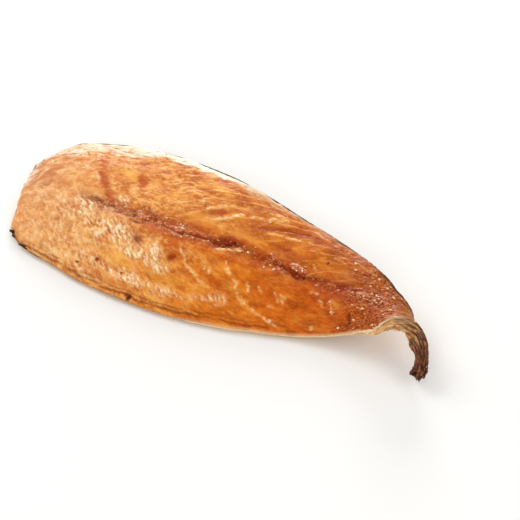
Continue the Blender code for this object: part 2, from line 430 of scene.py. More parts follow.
# Places on the flesh are (along, across) in mm from the head cut and from the spine, back side positive.
fleshLook = {
    "rings": 400,
    "topPoints": 196,
    "underPoints": 32,
    "sideShare": 0.4,  # how far the points gather at the two edges
    "underGap": 0.35,  # how far the hidden underside stays inside the skin
    "tailGap": 0.85,  # and further inside where the skin is creased
    "flakeBack": 80.0,  # how far a flake's line runs back from the middle to an edge
    "flakeGap": 12.3,
    "wrinkleTurn": -38.0,
    # the belly's membrane: broad strokes, then its brightest patches
    "membraneBands": (
        *((36, 3, 52, -8, 5.5, 0.85), (52, -8, 70, -8.5, 5.5, 0.9), (66, -9, 84, -15, 4.4, 1.0)),
        *((84, -14, 97, -19, 3.4, 1.0), (50, -26, 66, -25.5, 2.2, 0.8), (66, -26, 90, -28.3, 2.4, 0.9)),
        *((90, -28.3, 108, -27.6, 2.0, 0.75), (108, -27.5, 122, -24, 1.6, 0.45), (121, -22.5, 131, -22, 2.6, 0.6)),
    ),
    "membranePatches": (
        *((54, -13.2, 4.5, 1.8, -25, 1.0), (46.5, -9.5, 4, 2, -50, 0.7), (66, -5.5, 4.5, 2.8, -15, 0.9)),
        *((74.5, -16, 6, 2.4, -22, 1.1), (88, -12, 4.5, 3.6, -40, 1.0), (37.5, 4, 3.5, 1.8, -10, 0.8)),
        *((15, -16.5, 5, 3, -40, 0.8), (23, -5, 3, 3.4, -60, 0.5), (58.5, 10.5, 4, 1.8, -32, 0.8)),
        *((11, 23.5, 3.5, 2.2, -10, 0.8), (27, 25, 5, 2.2, 10, 0.6), (24, 34, 9, 2.4, 18, 0.6)),
        *((53, -26.5, 3.2, 1.7, -10, 0.8), (64, -25.5, 3.6, 1.2, 0, 0.8), (74.5, -27, 4.5, 1.6, -8, 1.0)),
        *((101, -27.8, 6.5, 1.6, 0, 1.1), (127, -20.5, 4, 2.0, 0, 0.8), (30, -20, 8, 4, -30, 0.35)),
    ),
    # pale flakes and torn fibres that stand proud
    "paleStrokes": (
        *((100, 22.3, 103.6, 24.6, 1.1, 0.85), (103.4, 25, 107.6, 28.8, 1.0, 1.0), (94, 25, 96.5, 27, 0.9, 0.8)),
        *((105.5, 17.3, 111.5, 21.3, 0.9, 0.9), (111, 21.6, 118.5, 27.5, 1.1, 1.0), (109.5, 29.5, 111.5, 31.5, 0.9, 0.6)),
        *((121, 27.8, 130, 31, 1.2, 0.6), (129.5, 30.6, 139, 35, 1.4, 0.85), (129, 34.6, 136, 37.2, 0.8, 0.6)),
        *((134.5, 22.6, 141, 24.2, 0.8, 0.8), (143, 24.9, 150.5, 26.2, 1.0, 0.8), (88, 18.4, 97, 23.4, 0.6, 0.4)),
        *((37.5, 20.6, 40, 17, 1.0, 0.8), (163, 16, 167, 12.5, 0.6, 0.6), (171, 22.8, 180, 22.2, 0.6, 0.5)),
        *((184, 24.4, 198, 19.6, 0.8, 0.55), (155, 34.5, 166, 32, 0.7, 0.5), (115.3, 1.8, 122.8, 5.0, 1.0, 1.0)),
        *((123.0, 6.1, 126.3, 7.3, 1.1, 0.9), (122.3, -3, 127.3, -9, 0.9, 1.0), (130, -9.6, 134, -12.6, 1.0, 0.9)),
        *((132.5, -12.8, 136.5, -16.8, 0.8, 0.8), (136.3, -17, 142.6, -18.8, 1.1, 1.0), (143, -19, 151, -20, 0.8, 0.7)),
        *((151, -20, 161, -21.6, 0.7, 0.7), (98.5, -3, 101, -8.5, 0.6, 0.7), (100.6, -6.8, 104.6, -11.2, 0.7, 0.85)),
        *((105, -11.8, 113, -16.2, 0.8, 0.9), (113, -16.2, 121, -18.5, 0.7, 0.6), (103, -4.8, 109, -7.8, 0.5, 0.5)),
        *((117, -9, 118.8, -13.2, 0.7, 0.8), (113.6, -9, 114.6, -12, 0.6, 0.6), (137.5, -8, 140.4, -13, 0.7, 0.7)),
        *((144, -8, 147, -10.6, 0.6, 0.7), (152, -8, 157, -11.6, 0.6, 0.7), (155, -7.4, 160, -12, 0.6, 0.6)),
        *((176.2, -2.4, 178.4, -5.4, 0.9, 1.0), (181.3, -2, 182, -4.4, 0.6, 0.8), (182.6, -4.6, 185, -8, 0.7, 0.9)),
        *((168.6, -0.2, 171, 0.2, 0.9, 0.7), (172.4, -0.6, 174, 0.2, 0.7, 0.6), (175, -16.4, 177.6, -17.2, 0.9, 1.0)),
        *((152, -15, 155, -14.2, 0.9, 0.6), (157.5, -8.2, 159, -9, 1.1, 0.7), (55, -32.6, 63, -33.4, 0.7, 0.6)),
        *((66, -33, 73, -34, 0.6, 0.5), (81.5, -4.5, 82.5, -8, 0.6, 0.6), (84.6, -4.4, 87, -8.4, 0.7, 0.8)),
    ),
    "yellowStrokes": (
        *((51, 27.5, 57.5, 25, 2.6, 1.0), (65, 24.8, 65.8, 24, 1.8, 0.9), (71.5, 18.2, 76.5, 20.6, 1.0, 0.9)),
        *((77, 20.8, 87, 24.2, 0.7, 0.6), (78, 26, 83, 24.6, 1.6, 0.6), (95, 38, 103, 37.2, 2.0, 0.6)),
        *((44.5, 12.5, 46.5, 10.5, 1.0, 0.8), (48, 27, 52, 30, 2.2, 0.5), (60, 31, 70, 28, 2.4, 0.3)),
        *((150, 28, 158, 26, 2.0, 0.4), (183, -2, 186, -4, 1.4, 0.5), (62, -20, 80, -22, 2.6, 0.5)),
        *((88, -22, 108, -21.5, 2.4, 0.45), (128, -12, 131, -15, 1.6, 0.5), (152, 36, 160, 34.6, 1.0, 0.4)),
    ),
    "brownSpread": 1.4,
    "brownStrokes": (
        *((33.5, 33, 36.5, 32, 2.4, 0.8), (36, 31, 38.5, 25, 1.9, 0.6), (55, 38, 56.5, 35.8, 2.4, 0.8)),
        *((59.5, 29, 63, 23, 2.2, 1.0), (39, 21.8, 46, 14.4, 2.3, 1.0), (46, 14.4, 52.8, 7.6, 1.9, 0.95)),
        *((68.6, 36.2, 70.6, 37, 1.5, 0.95), (82.5, 42.4, 90, 42.8, 1.6, 0.55), (95, 43.8, 99.5, 44.6, 1.4, 0.85)),
        *((72, 44.6, 80, 44.8, 0.9, 0.6), (79.5, 33.2, 86, 33.9, 0.8, 0.8), (89, 33.2, 97, 33.4, 1.5, 0.5)),
        *((103, 20.6, 109, 24.4, 2.2, 0.7), (110, 27.6, 114, 29, 1.5, 0.5), (119, 32, 130, 34.5, 1.3, 0.5)),
        *((128, 23.4, 141, 28.8, 1.5, 0.8), (141, 29, 153, 31.5, 2.1, 0.95), (139, 17.6, 151, 16.6, 2.4, 0.55)),
        *((149, 13.4, 155, 12.6, 1.4, 0.6), (109, 41.3, 115, 41.4, 1.0, 0.7), (127, 38.7, 136, 38.2, 0.9, 0.7)),
        *((47.2, -23.6, 48.6, -25.4, 1.0, 0.85), (39, -5.4, 39.8, -8, 0.9, 0.6), (16, 30, 22, 33, 1.0, 0.6)),
        *((4, 28, 10, 27, 1.8, 0.4), (57.5, 15.4, 59, 14.6, 1.1, 0.6), (40, 35.4, 48, 38.6, 0.8, 0.5)),
        *((60, -31.6, 86, -32.4, 1.3, 0.45), (163, -8.6, 176, -9.4, 0.9, 0.6), (143, -17.5, 150, -15, 1.2, 0.6)),
        *((13, 12, 17, 9, 2.2, 0.4), (3, 17, 4, 11, 1.8, 0.5), (26, 20, 34, 21, 1.2, 0.35)),
        # The belly-side strokes from along 99 to 131 lie just below pale ridges and paint the shade under them.
        *((99, -4, 103, -10, 1.0, 0.5), (104, -13.4, 113, -18, 0.9, 0.5), (180, 20, 195, 17, 2.4, 0.4)),
        *((126, -9.6, 131, -17, 0.8, 0.4), (190, -12, 200, -11.4, 1.0, 0.5), (64, 17, 70, 16, 1.4, 0.4)),
    ),
    "redSpots": (
        *((76.3, -9, 3.0, 1.8, -30, 1.0), (97, -11.8, 2.4, 2.1, 0, 1.0), (93.6, -10.2, 1.6, 1.2, 0, 0.5)),
        *((114.5, -11.8, 1.5, 1.0, 0, 0.7), (151, 31, 2.4, 1.6, 0, 0.4), (203, 11, 3, 3, 0, 0.5)),
    ),
    "warmZones": (
        *((84, 0.4, 12, 3.4, -4, 0.8), (97, -7, 5, 7, 0, 0.6), (119, -14, 10, 3, -10, 0.5)),
        *((150, -11, 11, 6, -15, 0.6), (54, 2.2, 6, 2, -8, 0.5), (165, 0, 12, 4, 0, 0.5)),
    ),
    # the backbone's dark seam
    "seamStrokes": (
        *((1, 6.5, 8, 7, 2.4, 0.35), (8, 7.2, 15, 6.8, 1.2, 0.3), (20, 6.5, 33, 6.2, 0.9, 0.15)),
        *((41.5, 5.6, 49, 4.6, 1.7, 0.95), (49, 4.6, 57, 3.5, 1.6, 0.85), (56, 3.5, 66, 2.6, 1.5, 0.65)),
        *((75, 6, 88, 3.2, 1.7, 0.7), (86, 3.4, 97, 3, 1.8, 0.9), (97, 3.6, 112, 5.8, 2.0, 0.95)),
        *((111, 5.6, 125, 8.6, 2.7, 0.85), (112.5, 2.4, 116, 1.6, 0.8, 0.7), (125, 9, 140, 7.5, 1.7, 0.4)),
        *((138, 7.6, 150, 6.8, 2.3, 0.6), (149, 6.8, 157, 5.4, 2.4, 0.85), (162, 7, 178, 7, 2.0, 0.5)),
        *((68, 0.8, 67.6, 8, 1.1, 1.0), (68, 8, 70.6, 11.2, 0.9, 0.9), (73.6, 10.6, 75.4, 8, 0.9, 0.8)),
        *((75, 4, 73.8, 0.9, 1.3, 1.0), (73.6, 0.6, 68.6, 0, 0.9, 0.8), (70.2, 3.4, 71, 8.6, 0.6, 0.7)),
        *((177, 8.3, 192, 7.2, 1.8, 0.8), (192, 6.6, 205, 4.5, 1.3, 0.45), (199, 7.6, 206, 6.6, 0.8, 0.5)),
    ),
    "seamHalo": (
        *((36, 5, 66, 4, 4.6, 0.75), (66, 5, 112, 4.6, 5.0, 0.9), (111, 6, 128, 8, 5.4, 1.0)),
        *((128, 8, 165, 7, 5.0, 0.8), (165, 7, 208, 6, 4.6, 0.8)),
    ),
    "pits": ((112.5, 5.5, 123, 7.8, 1.8, 1.0), (155.2, 6.1, 162, 5.8, 1.8, 1.1)),
    "pinkLumps": (
        *((71.0, 6.4, 73.0, 3.2, 1.7, 1.0), (69.2, 1.9, 70.2, 1.9, 1.1, 0.9), (71, 9.6, 72.6, 9.4, 1.0, 0.8)),
        *((75.2, 6.6, 75.4, 5.4, 0.8, 0.7), (68.8, 6.8, 69.4, 5.8, 0.8, 0.7), (78.2, 8.8, 79, 8, 0.8, 0.8)),
        *((77.8, 3.8, 78.8, 3.6, 0.8, 0.8), (80.4, 3.8, 83.6, 4.9, 0.9, 0.7), (88.5, 4.2, 93, 4.4, 0.9, 0.8)),
        *((93, 5.7, 97, 5.2, 0.9, 0.9), (97.6, 5.4, 102, 6.6, 0.8, 0.8), (102.6, 6.8, 110, 7.7, 0.7, 0.7)),
        *((85.5, 2.4, 93, 0.4, 0.8, 0.85), (94, 0.4, 103, 2.6, 0.8, 0.85), (104, 3.2, 110, 4.2, 0.7, 0.6)),
        *((144.2, 13, 145, 12.4, 0.8, 0.7), (148, 5, 152.4, 5.4, 0.8, 0.9), (153.6, 10.8, 158, 10.2, 1.7, 0.8)),
        *((157, 10.6, 162, 9.2, 1.6, 1.1), (189.8, 5.4, 191.4, 4.8, 1.0, 0.8), (194.4, 5, 198, 6.2, 1.3, 1.0)),
        *((198.8, 6.4, 200.2, 5.4, 0.9, 0.7), (202.6, 3.2, 203.6, 2.8, 0.7, 0.7), (206, 3.5, 207, 3, 0.7, 0.6)),
        *((127, 9.6, 128.4, 9.2, 0.9, 0.5), (129.8, 7.4, 131, 7.8, 0.9, 0.5), (133, 9, 134, 8.2, 0.8, 0.5)),
    ),
    "specks": (
        *((52, -28.7, 1.1, 0.8, 0, 1.2), (61.5, -24.7, 1.1, 0.9, 0, 1.3), (170.5, 19.2, 1.0, 0.9, 0, 1.2)),
        *((85.5, -35.4, 2.0, 1.5, 0, 1.2), (193.6, -7, 1.0, 2.5, 20, 1.2), (195, -9.4, 1.0, 1.9, 20, 1.1)),
        *((1.6, -21.4, 1.8, 1.0, -40, 0.9), (13, -26.9, 2.8, 0.6, -12, 0.8), (190.5, 16, 0.7, 0.6, 0, 0.5)),
    ),
    # smooth, glowing places with hardly any texture
    "calmZones": (
        *((100, 13, 12, 4.6, 5, 1.0), (133, 14, 12, 4, 0, 0.8), (152, 20, 12, 3, -5, 0.7)),
        *((88, -21, 24, 3, -4, 0.6), (112, -3, 7, 4, 0, 0.5), (132, -4, 8, 5, 0, 0.7), (184, 0, 7, 4, 0, 0.7)),
        *((175, 12, 10, 4, -8, 0.5), (30, 12, 8, 5, 0, 0.4)),
    ),
    "rimWidth": (
        *((0, 6), (8, 9), (20, 14), (32, 12.5), (44, 11), (58, 8.5), (80, 7.5), (100, 6.5)),
        *((112, 7), (122, 8), (132, 7), (142, 6), (160, 5), (180, 3.6), (210, 2)),
    ),
}


def membraneCover(along, across, share):  # 0 to 1: how much of the belly's pale membrane clings
    cover = np.maximum(
        streaks(along, across, fleshLook["membraneBands"]),
        spots(along, across, fleshLook["membranePatches"]),
    )
    lobe = 0.34 * between(along, 4, 62, 10) * between(share, -0.9, 0.1, 0.1)
    return np.clip(np.maximum(cover, lobe) * (0.9 + 0.35 * grain(along / 6, across / 4, 10)), 0, 1.1)


def fleshMasks(along, across, sizes):  # painted numbers and the relief in mm
    look = fleshLook
    belly, back, slim = sizes[0], sizes[1], sizes[3] / filletForm["fullHeight"]
    share = np.where(across < 0, across / belly, across / back)
    fromBelly, fromBack = across + belly, back - across
    flake = along - look["flakeBack"] * share**2
    tail = smooth(178, 206, along)

    # Everything listed in the tables is looked up a little off its place, which roughens its outline.
    s = along + 0.7 * grain(along / 3.2, across / 3.2, 201, 2) + 0.3 * grain(along / 1.2, across / 1.2, 203)
    a = across + 0.55 * grain(along / 3.2, across / 3.2, 202, 2) + 0.25 * grain(along / 1.2, across / 1.2, 204)

    calm = np.clip(spots(along, across, look["calmZones"]), 0, 1)
    lively = 1 - 0.75 * calm
    cover = membraneCover(s, a, share)
    ribs, acrossRibs = turned(along, across, look["wrinkleTurn"])
    wrinkle = grain(ribs / 3.6, acrossRibs / 1.5, 11, 2)
    pebble = grain(ribs / 1.7, acrossRibs / 1.2, 12, 2)
    crest = smooth(-0.1, 0.65, wrinkle + 0.55 * pebble)
    trough = smooth(0.1, 0.75, -wrinkle - 0.5 * pebble)
    # The membrane's cover, raised on the wrinkle crests: painted highlight on the crests.
    membrane = cover * (0.4 + 0.95 * crest)
    # The troughs between the wrinkles are sunk and also painted darker: painted shade.
    crack = cover * trough

    pale = streaks(s, a, look["paleStrokes"]) * (0.72 + 0.4 * grain(along / 1.8, across / 1.3, 205, 2))
    yellow = streaks(s, a, look["yellowStrokes"])
    brown = streaks(s, a, [(*ends, width * look["brownSpread"], strength) for *ends, width, strength in look["brownStrokes"]])
    red = spots(s, a, look["redSpots"])
    warm = spots(s, a, look["warmZones"])
    seam = streaks(s, a + 0.8 * grain(along / 6, 0 * across, 206), look["seamStrokes"])
    halo = streaks(s, a, look["seamHalo"])
    pits = streaks(s, a, look["pits"])
    pink = streaks(s, a, look["pinkLumps"])
    specks = spots(s, a, look["specks"])

    # Small lumps of dried flesh along the seam.
    seamZone = np.clip(halo * 1.4, 0, 1) * smooth(-0.35, 0.2, grain(along / 8, 0 * across, 37)) * (1 - np.clip(pits, 0, 1))
    lumps = smooth(0.2, 0.65, grain(along / 2.2, across / 1.5, 33, 2)) * seamZone
    gaps = smooth(0.15, 0.7, -grain(along / 3.0, across / 1.4, 35, 2)) * seamZone
    dark = seam * (0.8 + 0.5 * grain(along / 2.6, across / 1.3, 36, 2)) + pits + specks + 0.35 * gaps
    dark = np.clip(dark, 0, 1)
    dark = dark * (1 - 0.9 * np.clip(pink + pale, 0, 1))
    pink = np.clip(pink + 0.5 * lumps, 0, 1)

    relief = 0.45 * grain(along / 24, across / 13, 41) + 0.22 * grain(along / 9, across / 7, 42, 2) * lively
    relief = relief + cover * (0.26 * wrinkle + 0.18 * pebble + 0.14) - 0.2 * crack
    relief = relief + 0.4 * pale - 0.25 * brown - 0.2 * red - 0.3 * specks
    relief = relief - pits * (0.95 + 0.3 * grain(along / 2.6, across / 1.6, 38, 2))
    knobs = grain(along / 1.5, across / 1.2, 39, 2)
    relief = relief - 0.3 * seam * slim + pink * (0.8 + 0.4 * knobs) - 0.2 * gaps
    relief = relief - 0.8 * hill(across, 5.2, 4.0) * between(along, 38, 212, 14) * slim * (0.8 + 0.3 * grain(along / 12, 0 * across, 43))

    # Soft steps where one flake of flesh overlaps the next, away from the middle.
    bend = 1.6 * grain(along / 9, across / 9, 51, 2)
    phase = (flake + 1 + bend) / look["flakeGap"]
    step = phase - np.floor(phase)
    stepZone = between(np.abs(share), 0.15, 0.85, 0.12) * between(along, 70, 190, 18) * lively
    seen = smooth(-0.4, 0.4, grain(along / 11 + 3.3, across / 8, 52))
    wall = hill(step, 0.04, 0.09) * stepZone * seen
    relief = relief + 0.4 * (np.clip(1 - step * 1.3, 0, 1) ** 2 * smooth(0, 0.07, step)) * stepZone * seen
    fibres = grain(flake / 1.3, share * 9, 55, 2)
    relief = relief + 0.03 * fibres * between(along, 66, 200, 14) * lively * (1 - np.clip(halo, 0, 1))

    # The back rim: silvery where the skin's fat shows, and painted as a highlight where it faces the low back light.
    rimWide = knotCurve(look["rimWidth"], along) * (1 + 0.22 * grain(along / 8, 0 * across, 61, 3))
    rim = 1 - smooth(rimWide * 0.72, rimWide * 1.12, fromBack + 0.8 * grain(along / 5, across / 1.5, 62, 2))
    rimLines = grain(along / 11, fromBack / 1.0, 66, 2)
    silver = hill(fromBack, 1.9 + 0.5 * grain(along / 9, 0 * across, 68, 2), 1.3) * between(along, 48, 150, 16)
    silver = silver * smooth(-0.9, 0.1, grain(along / 7, fromBack / 0.8, 69, 2))
    relief = relief + 0.16 * rim * rimLines - 0.15 * hill(fromBack, rimWide * 1.1, 0.9) * (1 - tail)
    # Painted highlight along the back corner of the head cut.
    headHighlight = (1 - smooth(0.5, 5.0, along + 1.5 * grain(across / 4, 0 * along, 67, 2))) * smooth(0.05, 0.4, share)
    rim = np.clip(rim + 0.8 * headHighlight, 0, 1) * (1 - 0.5 * tail)

    # The thin belly edge, browner just inside and a little frayed.
    edge = 1 - smooth(0.2, 1.2, fromBelly)
    brownAt = knotCurve(((0, 1.0), (60, 1.6), (110, 2.2), (150, 2.0), (180, 1.2)), along) + 0.5 * grain(along / 7, 0 * across, 63, 2)
    patchy = smooth(-0.7, 0.4, grain(along / 11, across / 1.2, 65, 3))
    edgeBrown = (hill(fromBelly, brownAt, 0.6) + 0.7 * hill(fromBelly, brownAt + 1.7, 0.45)) * between(along, 8, 176, 14) * patchy
    fray = grain(along / 2.2, 0 * across, 64, 3)
    relief = relief + 0.3 * edge * fray - 0.25 * edgeBrown

    # The dried tail end: a stippled crust.
    crust = np.clip(tail + 0.3 * smooth(150, 185, along) * smooth(0, 0.6, grain(along / 9, across / 6, 72, 2)), 0, 1)
    stipple = grain(along / 1.5, across / 1.2, 71, 2)
    relief = relief + 0.26 * crust * stipple
    relief = relief + (0.1 * grain(along / 1.6, across / 1.2, 73, 2) + 0.12 * grain(along / 4, across / 3, 74, 2)) * lively
    return {
        "along": along,
        "across": across,
        "flake": flake,
        "share": share,
        "lively": lively,
        "membrane": np.clip(membrane, 0, 1),
        "crack": np.clip(crack, 0, 1),
        "pale": pale,
        "yellow": yellow,
        "brown": brown,
        "red": red,
        "warm": warm,
        "halo": np.clip(halo, 0, 1),
        "dark": dark,
        "pink": pink,
        "wall": np.clip(wall, 0, 1),
        "rim": rim,
        "silver": silver,
        "edge": edge,
        "edgeBrown": np.clip(edgeBrown, 0, 1),
        "crust": crust,
        # the crust's raised bumps, painted lighter: painted highlight
        "stipple": crust * smooth(0.1, 0.7, stipple),
    }, relief


def alongRings(count):  # ring distances, a little closer at both ends
    t = np.linspace(0, 1, count)
    start = -filletForm["headBlunt"]
    return start + (filletForm["length"] - start) * (t - 0.035 * np.sin(2 * np.pi * t) / (2 * np.pi))


def fleshPiece(material):
    look = fleshLook
    rings, top, under = look["rings"], look["topPoints"], look["underPoints"]
    along = alongRings(rings)[:, None]
    sizes = sizesAt(along)
    belly, back = sizes[0], sizes[1]
    centre, half = (back - belly) / 2, (back + belly) / 2
    t = np.arange(top + 1) / top
    topPlace = (1 - look["sideShare"]) * (2 * t - 1) - look["sideShare"] * np.cos(np.pi * t)
    underPlace = np.cos(np.pi * np.arange(1, under) / under)
    place = np.concatenate([topPlace, underPlace])[None, :]
    across = centre + half * place
    isTop = np.arange(place.shape[1])[None, :] <= top
    along = np.broadcast_to(along, across.shape)
    flesh, skin = fleshHeight(across, sizes), skinHeight(across, sizes)
    height = blunted(along, np.where(isTop, flesh, skin), flesh, skin)
    points = onSpine(tornBack(along, place), across, height)
    normals = surfaceNormals(points, True)
    if normals[rings // 3, top // 2, 2] < 0:
        normals = -normals
    masks, relief = fleshMasks(along, across, sizes)
    edgeFade = smooth(0, 0.02, 1 - np.abs(place))
    underGap = look["underGap"] + look["tailGap"] * smooth(184, 204, along)
    relief = np.where(isTop, relief * (0.25 + 0.75 * edgeFade), -underGap)
    headGrain = (1 - smooth(0, 8, along)) * 0.5 * grain(across / 4, height / 3, 81, 3)
    points = points + normals * (relief + headGrain * isTop)[..., None]
    mesh, ring, point = tubeMesh("flesh", rings, place.shape[1])
    moveVertices(mesh, points[ring, point])
    outwards(mesh)
    for name, values in masks.items():
        paint(mesh, name, np.broadcast_to(values, across.shape)[ring, point])
    shown = {name: np.broadcast_to(values, across.shape) * isTop for name, values in masks.items()}
    return showPiece(mesh, material, "flesh"), (points, normals, shown)


def fleshFinish():
    f = Finish("smokedFlesh")
    along, across, flake, share, lively = (f.read(key) for key in ("along", "across", "flake", "share", "lively"))
    place = along / filletForm["length"]
    broad = f.lumps(along / 24, across / 13, 3)
    lean = along * 0.65 + flake * 0.35  # follows the flakes, less steeply
    blotch = f.lumps(lean / 6, share * 9, 4, 0.65)
    mottle = f.lumps(lean / 2.4, share * 24, 4, 0.75)
    fine = f.lumps(along / 1.3, across / 0.9, 3, 0.7)

    backTone = f.tones(
        place,
        (
            *((0.03, tint(218, 152, 94)), (0.15, tint(226, 144, 70)), (0.27, tint(226, 138, 62)), (0.39, tint(228, 142, 62))),
            *((0.51, tint(212, 120, 42)), (0.63, tint(206, 106, 26)), (0.75, tint(186, 90, 14)), (0.85, tint(150, 60, 6))),
        ),
    )
    middleTone = f.tones(
        place,
        (
            *((0.03, tint(220, 148, 84)), (0.15, tint(232, 160, 92)), (0.26, tint(222, 142, 74)), (0.34, tint(206, 104, 34))),
            *((0.45, tint(208, 98, 14)), (0.54, tint(212, 108, 22)), (0.68, tint(184, 74, 4)), (0.85, tint(158, 56, 4))),
        ),
    )
    bellyTone = f.tones(
        place,
        (
            *((0.03, tint(238, 158, 84)), (0.15, tint(242, 168, 90)), (0.27, tint(244, 164, 82)), (0.38, tint(232, 140, 50))),
            *((0.5, tint(232, 128, 30)), (0.63, tint(224, 112, 18)), (0.75, tint(198, 80, 4)), (0.85, tint(166, 60, 2))),
        ),
    )
    light = f.tones(
        place,
        ((0.0, tint(255, 214, 152)), (0.3, tint(255, 200, 118)), (0.55, tint(250, 172, 68)), (0.85, tint(214, 120, 48))),
    )
    shade = f.tones(
        place,
        ((0.0, tint(208, 124, 62)), (0.25, tint(196, 98, 32)), (0.45, tint(168, 64, 6)), (0.6, tint(150, 54, 2)), (0.85, tint(104, 36, 4))),
    )
    colour = f.mix(share.ramp(-0.4, 0.02), bellyTone, middleTone)
    colour = f.mix(share.ramp(0.05, 0.35), colour, backTone)
    patch = f.lumps(along / 11, across / 6, 3, 0.6)
    crinkle = f.lumps((along * 0.79 - across * 0.62) / 3.6, (along * 0.62 + across * 0.79) / 1.4, 3, 0.6)
    crinkled = (along.ramp(135, 75) * 0.62 + 0.38) * (along.ramp(8, 45) * 0.35 + 0.65) * lively
    satin = crinkled * (1 - along.ramp(90, 55) * 0.55)  # the finest grain dies away towards the head
    bruise = along.ramp(26, 6) * across.ramp(-2, 14)
    creased = along.ramp(12, 46) * 0.55 + 0.45
    colour = f.mix(broad.ramp(0.5, 0.66) * 0.45, colour, shade)
    colour = f.mix(broad.ramp(0.46, 0.3) * 0.35, colour, light)
    colour = f.mix(patch.ramp(0.51, 0.6) * 0.42, colour, shade)
    colour = f.mix(patch.ramp(0.47, 0.37) * 0.36, colour, light)
    colour = f.mix(blotch.ramp(0.51, 0.61) * 0.7 * crinkled, colour, shade)
    colour = f.mix(blotch.ramp(0.46, 0.35) * 0.62 * crinkled, colour, light)
    colour = f.mix(mottle.ramp(0.52, 0.61) * 0.45 * satin, colour, shade)
    colour = f.mix(crinkle.ramp(0.54, 0.64) * 0.5 * crinkled * creased * along.ramp(110, 60), colour, light)
    colour = f.mix(mottle.ramp(0.47, 0.38) * 0.65 * satin, colour, light)
    colour = f.mix(fine.ramp(0.54, 0.64) * 0.25 * satin, colour, shade)
    colour = f.mix(fine.ramp(0.44, 0.35) * 0.25 * satin, colour, light)
    colour = f.mix(f.read("warm") * 0.6, colour, tint(200, 80, 10))
    colour = f.mix(bruise * blotch.ramp(0.44, 0.56) * 0.75, colour, tint(190, 108, 66))
    colour = f.mix(bruise * blotch.ramp(0.44, 0.36) * 0.5, colour, tint(248, 214, 178))
    colour = f.mix((f.read("halo") * (0.25 + blotch * 1.1)).kept(), colour, tint(152, 44, 4))
    colour = f.mix(f.read("yellow") * 0.6, colour, tint(252, 186, 76))
    # Brown blotches and streaks, partly painted shade under the belly ridges.
    colour = f.mix((f.read("brown") * (0.45 + mottle * 0.9)).kept(), colour, f.mix(along.ramp(60, 150), tint(188, 78, 22), tint(156, 54, 8)))
    colour = f.mix((f.read("edgeBrown") * (0.3 + fine * 1.1)).kept(), colour, tint(140, 62, 16))
    # The membrane's own pale cream, then a painted highlight on its wrinkle crests.
    colour = f.mix((f.read("membrane") * 0.6).kept(), colour, tint(248, 190, 118))
    colour = f.mix((f.read("membrane") * crinkle.ramp(0.46, 0.6) * creased * 1.35).kept(), colour, tint(255, 236, 196))
    # Painted shade in the membrane's wrinkle troughs.
    colour = f.mix((f.read("crack") * crinkle.ramp(0.52, 0.42)).kept(), colour, tint(168, 88, 30))
    colour = f.mix(f.read("wall") * 0.35, colour, light)
    colour = f.mix(f.read("crust") * fine.ramp(0.44, 0.62) * 0.6, colour, tint(200, 104, 34))
    colour = f.mix(f.read("crust") * fine.ramp(0.5, 0.38) * 0.85, colour, tint(92, 28, 6))
    # Painted highlight on the raised bumps of the crust.
    colour = f.mix(f.read("stipple") * fine.ramp(0.46, 0.6) * 0.5, colour, tint(236, 160, 76))
    colour = f.mix(f.read("red") * 0.9, colour, f.mix(fine.ramp(0.4, 0.6), tint(170, 48, 2), tint(120, 28, 0)))
    colour = f.mix(f.read("dark"), colour, f.mix(mottle.ramp(0.42, 0.58), tint(90, 16, 0), tint(154, 54, 16)))
    chips = (f.read("pink") * 1.25 * fine.ramp(0.36, 0.52) + f.read("pink") * 0.25).kept()
    colour = f.mix(chips, colour, f.mix(fine.ramp(0.42, 0.62), tint(168, 62, 16), tint(234, 152, 98)))
    torn = f.lumps(along / 2.2, across / 1.4, 3, 0.7)
    colour = f.mix((f.read("pale") * torn.ramp(0.26, 0.46) * 1.1).kept(), colour, light)
    colour = f.mix((f.read("pale") * torn.ramp(0.43, 0.6) * 0.95).kept(), colour, f.mix(fine.ramp(0.4, 0.6), tint(244, 196, 138), tint(255, 232, 190)))

    # Painted highlights: fine bright threads and flecks of glint, thickest on the membrane and the crust, each fleck
    # with a painted shadow just beside it.
    glintThreads = abs(f.lumps(flake / 2.6, share * 14, 1) - 0.5).ramp(0.05, 0.0) * f.lumps(along / 4, across / 4, 1).ramp(0.5, 0.62)
    busy = (f.read("membrane") * 0.35 + f.read("halo") * 0.4 + f.read("crust") * 0.35 + along.ramp(110, 70) * 0.12 + 0.05).kept() * lively
    flecks = f.lumps(along / 1.5, across / 1.0, 2).ramp(0.6, 0.68) * busy
    # Painted shadow: the flecks shifted a little, laid darker beside each highlight.
    under = f.lumps((along - 0.3) / 1.5, (across + 0.8) / 1.0, 2).ramp(0.6, 0.68) * busy
    colour = f.mix(glintThreads * busy * 0.6, colour, light)
    colour = f.mix(under * 0.7, colour, shade)
    colour = f.mix(flecks * 0.8, colour, f.mix(along.ramp(90, 180), tint(255, 234, 196), tint(244, 190, 130)))
